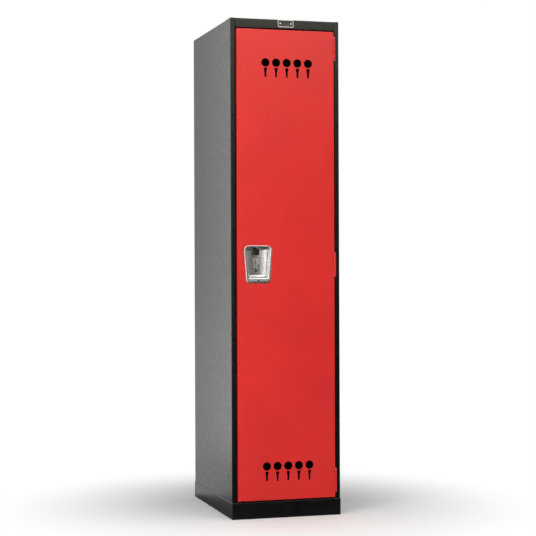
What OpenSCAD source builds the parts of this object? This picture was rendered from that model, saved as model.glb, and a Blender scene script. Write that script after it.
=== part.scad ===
// Single tier steel clothing locker: a welded box on a closed base, with one full height door.
// Depths run back from the front plane of the frame, so what stands proud of it has a negative depth.

/* [Cabinet] */
// Width over the frame
body_w = 381; // [300:1:460]
// Depth from the frame's front plane to the back of the base
body_d = 533; // [300:1:610]
// Height from the floor to the top
body_h = 1676; // [1500:1:1830]
// Height of the closed base
base_h = 56; // [40:1:120]
// Distance that the base front stands proud of the frame
base_proud = 3; // [2:0.5:6]
// Depth of the base's top and bottom flanges
base_flange = 25; // [20:1:32]
// Thickness of frame and base steel
frame_t = 1.5; // [1.2:0.1:2]
// Thickness of side, back, top, floor and shelf sheets
panel_t = 1.2; // [0.8:0.1:1.5]
// Inside radius of every bend in frame and base
bend_r = 1; // [0.6:0.1:1.5]

/* [Frame] */
// Width of each upright's front face
upright_face = 16; // [12:1:24]
// Depth of each upright's side leg
upright_leg = 64; // [56:1:90]
// Height of the header's front face
header_face = 32; // [26:1:50]
// Depth from the frame's front plane to the door stop
stop_y = 22; // [21:0.5:26]
// Width of the door stop around the opening
stop_w = 16; // [14:1:22]
// Radius of the holes that join lockers side by side
gang_r = 3.6; // [2.5:0.1:5]
// Distance of the joining holes from the back edge of the upright's leg
gang_in = 16; // [14:1:24]
// Height of the lower joining hole
gang_low = 143; // [110:1:260]
// Distance of the upper joining hole below the top
gang_down = 86; // [60:1:160]
// Radius of the floor anchor holes
anchor_r = 5; // [3:0.5:6]
// Distance of the anchor holes from the front and back of the body
anchor_in = 90; // [60:5:130]

/* [Inside] */
// Depth of the turned-down edges of floor, top and shelf
tray_lip = 22; // [16:1:26]
// Distance from the top to the line of screws that hold the hat shelf
shelf_down = 198; // [150:1:320]
// Width of the side sheets' back flange
back_flange = 15; // [10:1:25]
// Radius of the coat hooks' wire
hook_wire_r = 3; // [2:0.5:4]
// Reach of a coat hook from its wall
hook_reach = 34; // [28:1:45]
// Distance of the wall hooks below the hat shelf
wall_hook_down = 139; // [120:1:320]
// Depth of the side wall hooks behind the frame's front plane
wall_hook_y = 300; // [150:5:380]

/* [Door] */
// Running gap around the door
door_gap = 3.5; // [3.2:0.1:5]
// Distance that the door face stands proud of the frame
door_proud = 6; // [5.5:0.5:8]
// Depth of the door pan
door_depth = 24; // [22:0.5:26]
// Thickness of door steel
door_t = 1.5; // [1.2:0.1:1.8]
// Outside radius of the door's front edges
door_r = 1.8; // [1:0.1:3]
// Width of the door's return lip on the latch side
latch_lip = 22; // [20:1:28]
// Width of the other three return lips
door_lip = 14; // [10:1:20]
// Width of the stiffener's raised web
stiffener_w = 36; // [24:1:60]
// Height of the stiffener's web above the door skin
stiffener_h = 14; // [8:1:18]

/* [Vents] */
// Number of vents in a row
vent_count = 5; // [1:1:7]
// Distance between vents
vent_pitch = 37.4; // [34:0.2:42]
// Radius of a vent's round hole
vent_r = 14.2; // [8:0.2:15]
// Distance from the door's end to the round holes' centres
vent_in = 111; // [80:1:140]
// Distance from the lower door end to the lower row's round holes
vent_low_in = 113.5; // [100:0.5:150]
// Length of the tapered slot under a hole
slot_l = 32; // [20:1:40]
// Width of the slot at its top
slot_top = 12.6; // [8:0.2:16]
// Length over which the slot narrows
slot_neck = 12; // [8:1:16]
// Width of the slot at its bottom
slot_bottom = 6.4; // [3:0.2:8]
// Steel left between a hole and its slot
slot_web = 3.6; // [2:0.2:8]

/* [Handle cup] */
// Distance from the door's latch edge to the middle of the cup
cup_in = 72.3; // [66:0.1:85]
// Height of the middle of the cup above the middle of the door
cup_up = 1.25; // [-40:0.25:40]
// Height over the cup's flange
cup_h = 126; // [118:1:140]
// Width over the cup's flange near its top
cup_top_w = 99; // [94:1:110]
// Width over the cup's flange near its bottom
cup_bottom_w = 84; // [74:1:90]
// Width of the flange at the sides of the cup
cup_rim = 9; // [6:0.5:10]
// Width of the flange at the top of the cup
cup_rim_top = 4.6; // [4:0.2:7]
// Width of the flange at the bottom of the cup
cup_rim_bottom = 17; // [12:0.5:20]
// Thickness of the stainless cup
cup_t = 0.9; // [0.7:0.1:1.2]
// Depth of the cup inside, from the door face
cup_depth = 18.6; // [16:0.2:19]
// Depth of the shallow step at the foot of the cup
cup_step = 3; // [2:0.5:5]
// Height of the shallow step at the foot of the cup
cup_step_h = 6; // [4:0.5:9]

/* [Latch] */
// Width of the lifting grip
grip_w = 29; // [22:1:32]
// Height of the lifting grip
grip_h = 20; // [14:1:22]
// Distance that the latch lifts to free the door
latch_lift = 10; // [8:0.5:11]
// Thickness of the lock bar
bar_t = 2; // [1.5:0.1:2.5]
// Width of the lock bar
bar_w = 12; // [9:0.5:12]
// Distance from the door's latch edge to the lock bar
bar_in = 11; // [10.5:0.1:12]
// Distance from the door's ends to the lock bar's ends
bar_end_in = 70; // [40:5:90]
// Distance from the door's ends to the outer frame hooks' noses
hook_in = 170; // [120:5:260]
// Thickness of a frame hook
keeper_t = 3; // [2:0.1:3.4]
// Width of the pocket behind a frame hook's nose
keeper_pocket = 6; // [5.5:0.1:6.4]
// Thickness of a latch finger
finger_t = 1.5; // [1:0.1:2]
// Thickness of the padlock ears
ear_t = 2; // [1.5:0.1:2.4]
// Radius of the padlock slot's ends
ear_hole_r = 4.8; // [3.5:0.1:5.2]

/* [Hinges] */
// Height of a hinge
hinge_h = 79; // [60:1:100]
// Distance from the door's ends to the middle of the outer hinges
hinge_in = 58; // [52:1:70]
// Radius of the hinge barrel
barrel_r = 4; // [3.4:0.1:4.2]
// Radius of the hinge pin
pin_r = 2; // [1.4:0.1:2.4]
// Depth of the hinge leaves behind the frame's front plane
leaf_d = 16; // [10:0.5:17]

/* [Number plate] */
// Width of the number plate
plate_w = 56; // [40:1:80]
// Height of the number plate
plate_h = 25; // [18:0.5:28]
// Radius of the number plate's corners
plate_corner_r = 4.5; // [1:0.5:8]
// Distance between the number plate's rivets
plate_rivets_apart = 38; // [26:1:60]

/* [Hidden] */

$fn = 48;
eps = 0.01;
// Radial play between a hinge pin and its knuckles
pin_play = 0.05;
// Play between parts that slide past each other
slide_play = 0.3;
// Gap between neighbouring hinge knuckles
knuckle_gap = 0.4;
// Flat steps in each quarter bend
bend_steps = 4;
// Overshoot of a cut past the face that it opens
over = 1;

// Opening and door
half_w = body_w / 2;
opening_half = half_w - upright_face;
opening_top = body_h - header_face;
stop_half = opening_half - stop_w;
door_half = opening_half - door_gap;
door_bottom = base_h + frame_t + door_gap;
door_top = opening_top - door_gap;
door_h = door_top - door_bottom;
door_mid = (door_top + door_bottom) / 2;
door_back = door_depth - door_proud;
skin_in = door_t - door_proud;
lip_in = door_back - door_t;

// Hinge axis, half way across the gap beside the door
leaf_t = (door_gap - 0.5) / 2;
pin_tip = 1.2;
axis_x = door_half + door_gap / 2;
axis_y = -(barrel_r + 0.5);
hinge_zs = [door_top - hinge_in, door_mid, door_bottom + hinge_in];
// Room around the barrel in the door's edge
notch_gap = 0.35;

// The whole depth, from the hinge barrels to the back, is centred on the origin
proud = barrel_r - axis_y;
front_y = proud - (body_d + proud) / 2;

// Sheets of the box
leg_in = half_w - frame_t;
side_in = leg_in - panel_t;
back_out = body_d - frame_t;
back_in = back_out - panel_t;
flange_in = back_in - panel_t;
tray_front = stop_y + frame_t;
gang_y = upright_leg - gang_in;
// The side sheets start just behind the joining holes and lap the uprights' legs
panel_front = gang_y + gang_r + 2.4;
floor_z = base_h + tray_lip;
gang_zs = [gang_low, body_h - gang_down];

// Hat shelf, its screws and the hooks
shelf_screw_z = body_h - shelf_down;
shelf_z = shelf_screw_z + tray_lip / 2;
shelf_front = tray_front + 6;
shelf_screw_ys = [upright_leg + 9, body_d - 60];
screw_r = 2.4;
screw_head_r = 5.2;
screw_head_h = 1.3;
ceiling_hook_y = body_d / 2;
wall_hook_z = shelf_z - wall_hook_down;
hook_plate_t = 2;

// Latch side of the door
bar_x = bar_in - door_half;
bar_y = 2;
bar_bottom = door_bottom + bar_end_in;
bar_top = door_top - bar_end_in;
keeper_x = bar_x - (bar_in - door_t) / 2;
keeper_front = 4;
keeper_nose = 6;
pocket_y = keeper_front + keeper_nose;
finger_y = pocket_y + 1;
finger_h = 14;
// Gap between a finger's tip and the door's latch edge
finger_gap = 1;
keeper_h = 30;
notch_side = 2.5;
pocket_h = latch_lift + 2;
// Height of each frame hook's nose
keeper_zs = [door_top - hook_in, door_mid, door_bottom + hook_in];
// At rest the latch stands lifted, its fingers just above the noses
finger_clear = 2;
over_lift = 4;
guide_zs = [for (k = [1:4]) door_bottom + door_h * k / 5];
guide_h = 24;
guide_wall = 5;
silencer_up = 26;
silencer_h = stop_y - door_back - slide_play;
silencer_r = 6;

// Handle cup
cup_x = cup_in - door_half;
cup_z = door_mid + cup_up;
cup_top_r = 14;
cup_bottom_r = 12;
cup_face = -door_proud - cup_t;
cup_floor = cup_depth - door_proud;
cup_draft = 4;
cup_back = cup_floor + cup_t;
slide_y = cup_back + slide_play;
slide_t = lip_in - slide_play - slide_y;
cup_open_top = cup_z + cup_h / 2 - cup_rim_top;
grip_x = cup_x - 9.5;
grip_top = cup_open_top - over_lift - 2.4;
grip_front = -door_proud + 3.5;
tab_z = grip_top - grip_h / 2;
tab_w = grip_w - 9;
tab_front = grip_front + 4;
tab_low = tab_z - latch_lift - slide_t / 2;
tab_high = tab_z + over_lift + slide_t / 2;
// Height of the slide plate's arm
arm_h = 24;
ear_h = 34;
ear_r = 6;
ear_x = cup_x - 4;
ear_z = cup_z - 7;
ear_front = -door_proud + 2;
ear_slot = ear_t + 1.4;
// Play of the latch's tab and ear in the slots of the cup's floor
cup_play = 1;
cup_rivet_z = cup_z - cup_h / 2 + cup_rim_bottom / 2;

// Vents and stiffener
vent_mid_x = 4;
stiffener_x = 22;

// Number plate on the header
plate_t = 0.8;
plate_x = 2.5;
plate_z = body_h - header_face / 2 + 2.5;
rivet_r = 1.6;

function unit(v) = v / norm(v);
function left_of(v) = [-v[1], v[0]];
function arc(centre, r, from, to, steps) =
    [for (k = [0:steps]) let (a = from + (to - from) * k / steps) centre + r * [cos(a), sin(a)]];
function reversed(list) = [for (k = [len(list) - 1:-1:0]) list[k]];

// Outline of a rectangle about the origin, with rounded corners
function rounded(w, h, r) = [
    for (c = [[1, 1, 0], [-1, 1, 90], [-1, -1, 180], [1, -1, 270]])
        each arc([c[0] * (w / 2 - r), c[1] * (h / 2 - r)], r, c[2], c[2] + 90, 4)
];

// One bend of a folded sheet, on the face that lies off from the path
function bend(a, b, c, r, t, off) =
    let (
        n1 = left_of(unit(b - a)),
        n2 = left_of(unit(c - b)),
        turn = n1[0] * n2[1] - n1[1] * n2[0],
        side = turn > 0 ? 1 : -1,
        path_r = turn > 0 ? r + t : r,
        centre = b + side * path_r * (n1 + n2) / (1 + n1 * n2),
        start = atan2(n1[1], n1[0]),
        sweep = atan2(turn, n1 * n2)
    )
    [for (k = [0:bend_steps]) let (a = start + sweep * k / bend_steps)
        centre + (off - side * path_r) * [cos(a), sin(a)]];

function sheet_face(path, t, r, off) =
    let (last = len(path) - 1)
    concat(
        [path[0] + off * left_of(unit(path[1] - path[0]))],
        [for (i = [1:last - 1]) each bend(path[i - 1], path[i], path[i + 1], r, t, off)],
        [path[last] + off * left_of(unit(path[last] - path[last - 1]))]
    );

// Outline of a sheet folded along a path, lying to the left of it
function folded(path, t, r) = concat(sheet_face(path, t, r, 0), reversed(sheet_face(path, t, r, t)));

module in_place() {
    translate([0, front_y, 0])
        children();
}

module mirrored_x() {
    mirror([1, 0, 0])
        children();
}

// A plan outline carried up from one height to another
module upright_sheet(z0, z1) {
    translate([0, 0, z0])
        linear_extrude(z1 - z0)
            children();
}

// A depth and height outline carried across from one x to another
module cross_sheet(x0, x1) {
    translate([x0, 0, 0])
        rotate([90, 0, 90])
            linear_extrude(x1 - x0)
                children();
}

// A width and height outline carried back from one depth to another
module depth_sheet(y0, y1) {
    translate([0, y1, 0])
        rotate([90, 0, 0])
            linear_extrude(y1 - y0)
                children();
}

module block(low, high) {
    translate(low)
        cube(high - low);
}

module hole_x(x0, x1, y, z, r) {
    translate([x0, y, z])
        rotate([0, 90, 0])
            cylinder(r = r, h = x1 - x0);
}

module hole_y(x, y0, y1, z, r) {
    translate([x, y1, z])
        rotate([90, 0, 0])
            cylinder(r = r, h = y1 - y0);
}

module base_front() {
    depth = base_flange - base_proud;
    path = [[depth, base_h], [-base_proud, base_h], [-base_proud, 0], [depth, 0]];
    color("#1b1c1c")
        in_place()
            difference() {
                cross_sheet(-half_w, half_w)
                    polygon(folded(path, frame_t, bend_r));
                for (side = [-1, 1])
                    translate([side * half_w, 0, 0])
                        block(
                            [-frame_t, frame_t - base_proud, -over],
                            [frame_t, depth + over, base_h + over]
                        );
            }
}

module base_rear() {
    depth = body_d - base_flange;
    path = [[depth, 0], [body_d, 0], [body_d, base_h], [depth, base_h]];
    color("#1b1c1c")
        in_place()
            difference() {
                cross_sheet(-half_w, half_w)
                    polygon(folded(path, frame_t, bend_r));
                for (side = [-1, 1])
                    translate([side * half_w, 0, 0])
                        block([-frame_t, depth - over, -over], [frame_t, back_out, base_h + over]);
            }
}

module base_left() {
    front = base_flange - base_proud;
    back = body_d - base_flange;
    path = [[base_flange - half_w, base_h], [-half_w, base_h], [-half_w, 0], [base_flange - half_w, 0]];
    color("#1b1c1c")
        in_place()
            difference() {
                depth_sheet(frame_t - base_proud, back_out)
                    polygon(folded(path, frame_t, bend_r));
                block([-leg_in, -base_proud, -over], [base_flange, front, base_h + over]);
                block([-leg_in, back, -over], [base_flange, body_d, base_h + over]);
                for (y = [anchor_in, body_d - anchor_in])
                    translate([base_flange / 2 - half_w, y, -over])
                        cylinder(r = anchor_r, h = frame_t + 2 * over);
            }
}

module base_right() {
    mirrored_x()
        base_left();
}

module upright_left() {
    path = [[-half_w, stop_y], [-half_w, 0], [-opening_half, 0], [-opening_half, stop_y]];
    color("#1b1c1c")
        in_place()
            difference() {
                upright_sheet(base_h, body_h)
                    polygon(folded(path, frame_t, bend_r));
                upright_sheet(body_h - frame_t, body_h + over)
                    polygon(corner_cap(over - opening_half, tray_front));
            }
}

module upright_right() {
    mirrored_x()
        upright_left();
}

// Flat leg that runs on behind an upright's outer edge, with the joining holes
module upright_leg_left() {
    color("#1b1c1c")
        in_place()
            difference() {
                block([-half_w, stop_y, base_h], [-leg_in, upright_leg, body_h]);
                for (z = gang_zs)
                    hole_x(-half_w - over, over - leg_in, gang_y, z, gang_r);
            }
}

module upright_leg_right() {
    mirrored_x()
        upright_leg_left();
}

// Strip welded behind an upright's inner edge, which the closed door's lip faces
module door_stop_left() {
    color("#1b1c1c")
        in_place()
            block([-opening_half - frame_t, stop_y, base_h], [-stop_half, tray_front, body_h - frame_t]);
}

module door_stop_right() {
    mirrored_x()
        door_stop_left();
}

// The header's end behind an upright's face, seen from above
function corner_cap(inner, back) = [
    [-leg_in, frame_t + bend_r], [bend_r - leg_in, frame_t], [inner - bend_r, frame_t],
    [inner, frame_t + bend_r], [inner, back], [-leg_in, back]
];

module header() {
    path = [
        [tray_front, body_h], [0, body_h], [0, opening_top],
        [stop_y, opening_top], [stop_y, opening_top - stop_w]
    ];
    color("#1b1c1c")
        in_place()
            union() {
                difference() {
                    cross_sheet(-opening_half, opening_half)
                        polygon(folded(path, frame_t, bend_r));
                    for (side = [-1, 1])
                        translate([side * (opening_half - stop_w / 2), 0, 0])
                            block(
                                [-stop_w / 2 - over, stop_y - bend_r, opening_top - stop_w - over],
                                [stop_w / 2 + over, tray_front + over, body_h - frame_t - bend_r]
                            );
                }
                for (side = [0, 1])
                    mirror([side, 0, 0])
                        upright_sheet(body_h - frame_t, body_h)
                            polygon(corner_cap(bend_r - opening_half, tray_front));
            }
}

module sill() {
    path = [[0, base_h], [tray_front, base_h], [tray_front, floor_z]];
    color("#1b1c1c")
        in_place()
            difference() {
                cross_sheet(-opening_half, opening_half)
                    polygon(folded(path, frame_t, bend_r));
                for (side = [-1, 1])
                    translate([side * (opening_half - stop_w / 2), 0, 0])
                        block(
                            [-stop_w / 2 - over, stop_y - bend_r, base_h - over],
                            [stop_w / 2 + over, tray_front + over, floor_z + over]
                        );
            }
}

module side_panel_left() {
    color("#222423")
        in_place()
            difference() {
                block([-leg_in, panel_front, base_h], [-side_in, back_in, body_h]);
                for (y = shelf_screw_ys)
                    hole_x(-leg_in - over, over - side_in, y, shelf_screw_z, screw_r);
            }
}

module side_panel_right() {
    mirrored_x()
        side_panel_left();
}

// Flange along a side sheet's rear edge, spot welded to the back sheet
module back_flange_left() {
    color("#222423")
        in_place()
            block([-side_in, flange_in, base_h], [back_flange - leg_in, back_in, body_h]);
}

module back_flange_right() {
    mirrored_x()
        back_flange_left();
}

module back_panel() {
    color("#222423")
        in_place()
            block([-leg_in, back_in, base_h], [leg_in, back_out, body_h]);
}

// A sheet with its four edges turned down, notched around the side sheets' back flanges
module tray(z, front) {
    difference() {
        block([-side_in, front, z - tray_lip], [side_in, back_in, z]);
        block(
            [panel_t - side_in, front + panel_t, z - tray_lip - over],
            [side_in - panel_t, back_in - panel_t, z - panel_t]
        );
        for (side = [-1, 1])
            translate([side * side_in, 0, 0])
                block(
                    [-back_flange, flange_in - bend_r, z - tray_lip - over],
                    [back_flange, back_in + over, z + over]
                );
    }
}

module top_panel() {
    color("#222423")
        in_place()
            tray(body_h, tray_front);
}

module floor_panel() {
    color("#222423")
        in_place()
            tray(floor_z, tray_front);
}

module hat_shelf() {
    color("#222423")
        in_place()
            difference() {
                tray(shelf_z, shelf_front);
                for (side = [-1, 1], y = shelf_screw_ys)
                    translate([side * side_in, 0, 0])
                        hole_x(-panel_t - over, panel_t + over, y, shelf_screw_z, screw_r);
            }
}

// Round head outside, shank through side sheet and shelf, nut inside
module shelf_screw() {
    shank = 2 * panel_t + 3;
    rotate([0, 90, 0])
        union() {
            translate([0, 0, -screw_head_h])
                cylinder(r1 = screw_head_r - 1, r2 = screw_head_r, h = screw_head_h);
            cylinder(r = screw_r - 0.1, h = shank);
            translate([0, 0, 2 * panel_t])
                cylinder(r = screw_r + 1.8, h = 2.6, $fn = 6);
        }
}

module shelf_screws() {
    color("#2a2c2b")
        in_place()
            for (side = [0, 1], y = shelf_screw_ys)
                mirror([side, 0, 0])
                    translate([-leg_in, y, shelf_screw_z])
                        shelf_screw();
}

// A wire that leaves the wall at the origin, reaches out along +Y, turns up and ends in a ball
module hook_prong(reach, rise) {
    turn = 3 * hook_wire_r;
    rotate([-90, 0, 0])
        cylinder(r = hook_wire_r, h = reach - turn);
    translate([0, reach - turn, turn])
        rotate([90, 0, 90])
            rotate([0, 0, -90])
                rotate_extrude(angle = 90)
                    translate([turn, 0])
                        circle(r = hook_wire_r);
    translate([0, reach, turn])
        cylinder(r = hook_wire_r, h = rise - turn);
    translate([0, reach, rise])
        sphere(r = 1.5 * hook_wire_r);
}

// Wall plate and prong, with the wall at y = 0 and the hook reaching along +Y
module wall_hook() {
    plate_half = 2.6 * hook_wire_r;
    color("#b9bcbd")
        union() {
            block([-plate_half, 0, -1.5 * plate_half], [plate_half, hook_plate_t, 4 * plate_half]);
            hook_prong(hook_reach, 0.7 * hook_reach);
        }
}

module wall_hook_left() {
    in_place()
        translate([-side_in, wall_hook_y, wall_hook_z])
            rotate([0, 0, -90])
                wall_hook();
}

module wall_hook_right() {
    mirrored_x()
        wall_hook_left();
}

module wall_hook_back() {
    in_place()
        translate([0, back_in, wall_hook_z])
            rotate([0, 0, 180])
                wall_hook();
}

// Plate under the hat shelf with two prongs that curl out and up
module ceiling_hook() {
    plate_half = 30;
    stem_x = 3 * hook_wire_r;
    turn = 4 * hook_wire_r;
    drop = hook_reach + turn;
    color("#b9bcbd")
        in_place()
            translate([0, ceiling_hook_y, shelf_z - panel_t])
                union() {
                    block([-plate_half, -plate_half / 3, -hook_plate_t], [plate_half, plate_half / 3, 0]);
                    for (side = [0, 1])
                        mirror([side, 0, 0]) {
                            translate([stem_x, 0, turn - drop])
                                cylinder(r = hook_wire_r, h = drop - turn - hook_plate_t / 2);
                            translate([stem_x + turn, 0, turn - drop])
                                rotate([90, 0, 0])
                                    rotate([0, 0, 180])
                                        rotate_extrude(angle = 180)
                                            translate([turn, 0])
                                                circle(r = hook_wire_r);
                            translate([stem_x + 2 * turn, 0, turn - drop])
                                cylinder(r = hook_wire_r, h = turn);
                            translate([stem_x + 2 * turn, 0, 2 * turn - drop])
                                sphere(r = 1.5 * hook_wire_r);
                        }
                }
}

// Hook on the door stop that a latch finger drops behind, its nose turned up
module frame_hook(nose_z) {
    back = pocket_y + keeper_pocket;
    color("#8e9294")
        in_place()
            translate([0, 0, nose_z])
                cross_sheet(keeper_x - keeper_t / 2, keeper_x + keeper_t / 2)
                    polygon([
                        [stop_y, 0], [back, 0], [back, -pocket_h], [pocket_y, -pocket_h],
                        [pocket_y, 0], [pocket_y - 2, 0], [keeper_front, -keeper_nose],
                        [keeper_front, -keeper_h / 2], [pocket_y + 2, -keeper_h], [stop_y, -keeper_h]
                    ]);
}

module frame_hook_upper() {
    frame_hook(keeper_zs[0]);
}

module frame_hook_middle() {
    frame_hook(keeper_zs[1]);
}

module frame_hook_lower() {
    frame_hook(keeper_zs[2]);
}

// Rubber buffers on the door stop, one above each frame hook
module silencers() {
    color("#1d1d1d")
        in_place()
            for (z = keeper_zs)
                translate([-(stop_half + stop_w / 2), stop_y, z + silencer_up])
                    rotate([90, 0, 0])
                        cylinder(r1 = silencer_r, r2 = 0.85 * silencer_r, h = silencer_h);
}

// Plan or side outline of the door, with rounded front corners
function pan_outline(low, high, front, back, r) = concat(
    [[low, back]],
    arc([low + r, front + r], r, 180, 270, bend_steps),
    arc([high - r, front + r], r, 270, 360, bend_steps),
    [[high, back]]
);

// Rounded block of the whole door, which its face is the front of
module door_block() {
    side_points = pan_outline(door_bottom, door_top, -door_proud, door_back, door_r);
    intersection() {
        upright_sheet(door_bottom, door_top)
            polygon(pan_outline(-door_half, door_half, -door_proud, door_back, door_r));
        cross_sheet(-door_half, door_half)
            polygon([for (p = side_points) [p[1], p[0]]]);
    }
}

// Notches in the door's edge around the hinge barrels
module barrel_notches() {
    for (z = hinge_zs)
        block(
            [axis_x - barrel_r - notch_gap, -door_proud - over, z - hinge_h / 2 - pin_tip - 0.8],
            [door_half + over, 0, z + hinge_h / 2 + pin_tip + 0.8]
        );
}

// A tapered slot under a round hole, its top edge at the origin
module vent_slot() {
    end_r = slot_bottom / 2;
    polygon(concat(
        [[slot_top / 2, 0], [slot_top / 2, -1.5], [1.15 * end_r, -slot_neck]],
        [for (p = reversed(arc([0, end_r - slot_l], end_r, 180, 360, 6))) p],
        [[-1.15 * end_r, -slot_neck], [-slot_top / 2, -1.5], [-slot_top / 2, 0]]
    ));
}

module vent_row(hole_z) {
    for (k = [0:vent_count - 1]) {
        x = vent_mid_x + (k - (vent_count - 1) / 2) * vent_pitch;
        hole_y(x, -door_proud - over, skin_in + over, hole_z, vent_r);
        depth_sheet(-door_proud - over, skin_in + over)
            translate([x, hole_z - vent_r - slot_web])
                vent_slot();
    }
}

// Right half of a rounded outline that is wide at the top, from its head down to its foot
function cup_side(top_c, top_r, bottom_c, bottom_r) =
    let (
        d = top_c - bottom_c,
        lean = atan2(d[1], d[0]) - acos((bottom_r - top_r) / norm(d))
    )
    concat(arc(top_c, top_r, 90, lean, 5), arc(bottom_c, bottom_r, lean, -90, 5));

// Outline of the cup about its middle; each grow moves its edges out
module cup_outline(grow_side, grow_top, grow_bottom) {
    top_r = max(cup_top_r + grow_side, 2);
    bottom_r = max(cup_bottom_r + grow_side, 2);
    right = cup_side(
        [cup_top_w / 2 + grow_side - top_r, cup_h / 2 + grow_top - top_r], top_r,
        [cup_bottom_w / 2 + grow_side - bottom_r, bottom_r - cup_h / 2 - grow_bottom], bottom_r
    );
    translate([cup_x, cup_z])
        polygon(concat(right, [for (p = reversed(right)) [-p[0], p[1]]]));
}

// The whole way through the cup's flange, with the step at its foot
module cup_opening(grow) {
    cup_outline(grow - cup_rim, grow - cup_rim_top, grow - cup_rim_bottom);
}

// Drawn recess between the step and the floor, as a tapered block
module cup_recess(grow, front, back) {
    foot = cup_rim_bottom + cup_step_h;
    hull() {
        depth_sheet(front, front + eps)
            cup_outline(grow - cup_rim, grow - cup_rim_top, grow - foot);
        depth_sheet(back - eps, back)
            cup_outline(
                grow - cup_rim - cup_draft,
                grow - cup_rim_top - cup_draft / 2,
                grow - foot - cup_draft
            );
    }
}

// Face of the door, rounded over at its edges
module door_skin() {
    color("#d8352f")
        in_place()
            difference() {
                door_block();
                block([-half_w, skin_in, 0], [half_w, door_back + over, body_h]);
                barrel_notches();
                vent_row(door_top - vent_in);
                vent_row(door_bottom + vent_low_in);
                depth_sheet(-door_proud - over, skin_in + over)
                    cup_opening(cup_t + 0.4);
                hole_y(cup_x, -door_proud - over, skin_in + over, cup_rivet_z, rivet_r);
            }
}

// Wall behind the latch edge of the face and its wide lip, notched for the frame hooks
module door_edge_latch() {
    path = [[latch_lip - door_half, door_back], [-door_half, door_back], [-door_half, skin_in]];
    color("#d8352f")
        in_place()
            difference() {
                upright_sheet(door_bottom, door_top)
                    polygon(folded(path, door_t, bend_r));
                for (z = keeper_zs)
                    block(
                        [keeper_x - keeper_t / 2 - notch_side, lip_in - over, z - keeper_h - notch_side],
                        [keeper_x + keeper_t / 2 + notch_side, door_back + over, z + notch_side]
                    );
            }
}

module door_edge_hinge() {
    path = [[door_half, skin_in], [door_half, door_back], [door_half - door_lip, door_back]];
    color("#d8352f")
        in_place()
            difference() {
                upright_sheet(door_bottom, door_top)
                    polygon(folded(path, door_t, bend_r));
                barrel_notches();
            }
}

// A level edge fits between the walls of the upright edges, and its lip between their lips
module level_edge(path) {
    color("#d8352f")
        in_place()
            difference() {
                cross_sheet(door_t - door_half, door_half - door_t)
                    polygon(folded(path, door_t, bend_r));
                for (ends = [[-door_half, latch_lip - door_half], [door_half - door_lip, door_half]])
                    block(
                        [ends[0], lip_in, door_bottom - over],
                        [ends[1], door_back + over, door_top + over]
                    );
                for (x = [door_t - door_half, door_half - door_t])
                    block(
                        [x - bend_r, lip_in - bend_r, door_bottom - over],
                        [x + bend_r, door_back, door_top + over]
                    );
            }
}

module door_edge_top() {
    level_edge([[door_back, door_top - door_lip], [door_back, door_top], [skin_in, door_top]]);
}

module door_edge_bottom() {
    level_edge([[skin_in, door_bottom], [door_back, door_bottom], [door_back, door_bottom + door_lip]]);
}

// Folded channel spot welded up the middle of the door's inner face
module door_stiffener() {
    flange = 14;
    web = stiffener_w / 2;
    top = skin_in + stiffener_h;
    path = [
        [-web - flange, skin_in + frame_t], [-web, skin_in + frame_t], [-web, top],
        [web, top], [web, skin_in + frame_t], [web + flange, skin_in + frame_t]
    ];
    low = door_bottom + vent_low_in + vent_r + 20;
    high = door_top - vent_in - vent_r - slot_web - slot_l - 20;
    color("#c9302b")
        in_place()
            translate([stiffener_x, 0, 0])
                upright_sheet(low, high)
                    polygon(folded([for (p = path) [-p[0], p[1]]], frame_t, bend_r));
}

// Drawn stainless cup: flange on the door face, shallow step, tapered recess
module handle_cup() {
    step_y = cup_face + cup_step;
    color("#cfd2d3")
        in_place()
            difference() {
                union() {
                    depth_sheet(cup_face, -door_proud)
                        cup_outline(0, 0, 0);
                    depth_sheet(cup_face, step_y + cup_t)
                        cup_opening(cup_t);
                    cup_recess(cup_t, step_y, cup_back);
                }
                depth_sheet(cup_face - over, step_y)
                    cup_opening(0);
                cup_recess(0, step_y - 2 * eps, cup_floor);
                block(
                    [grip_x - tab_w / 2 - cup_play, cup_floor - over, tab_low - cup_play],
                    [grip_x + tab_w / 2 + cup_play, cup_back + over, tab_high + cup_play]
                );
                block(
                    [ear_x - ear_slot / 2, cup_floor - over, ear_z - ear_h / 2 - cup_play],
                    [
                        ear_x + ear_slot / 2, cup_back + over,
                        ear_z + ear_h / 2 + latch_lift + over_lift + cup_play
                    ]
                );
                hole_y(cup_x, cup_face - over, over - door_proud, cup_rivet_z, rivet_r);
            }
}

// Blind rivet through the cup's lower flange and the door skin
module cup_rivet() {
    color("#8a8d8f")
        in_place()
            translate([cup_x, 0, cup_rivet_z])
                rotate([90, 0, 0])
                    union() {
                        translate([0, 0, -cup_face])
                            cylinder(r1 = 2 * rivet_r, r2 = rivet_r, h = 0.7);
                        translate([0, 0, -skin_in - 1])
                            cylinder(r = rivet_r - 0.05, h = cup_t + door_t + 1);
                        translate([0, 0, -skin_in - 1])
                            cylinder(r = rivet_r + 0.6, h = 1);
                    }
}

// Outline of a padlock ear in depth and height, about its middle
module ear_outline(back) {
    slot_y = ear_front + ear_r + 1;
    slot_half = 2;
    difference() {
        polygon(concat(
            [[back, -ear_h / 2]],
            arc([ear_front + ear_r, ear_r - ear_h / 2], ear_r, 270, 180, 5),
            arc([ear_front + ear_r, ear_h / 2 - ear_r], ear_r, 180, 90, 5),
            [[back, ear_h / 2]]
        ));
        for (z = [-slot_half, slot_half])
            translate([slot_y, z])
                circle(r = ear_hole_r);
        translate([slot_y, 0])
            square([2 * ear_hole_r, 2 * slot_half], center = true);
    }
}

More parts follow.
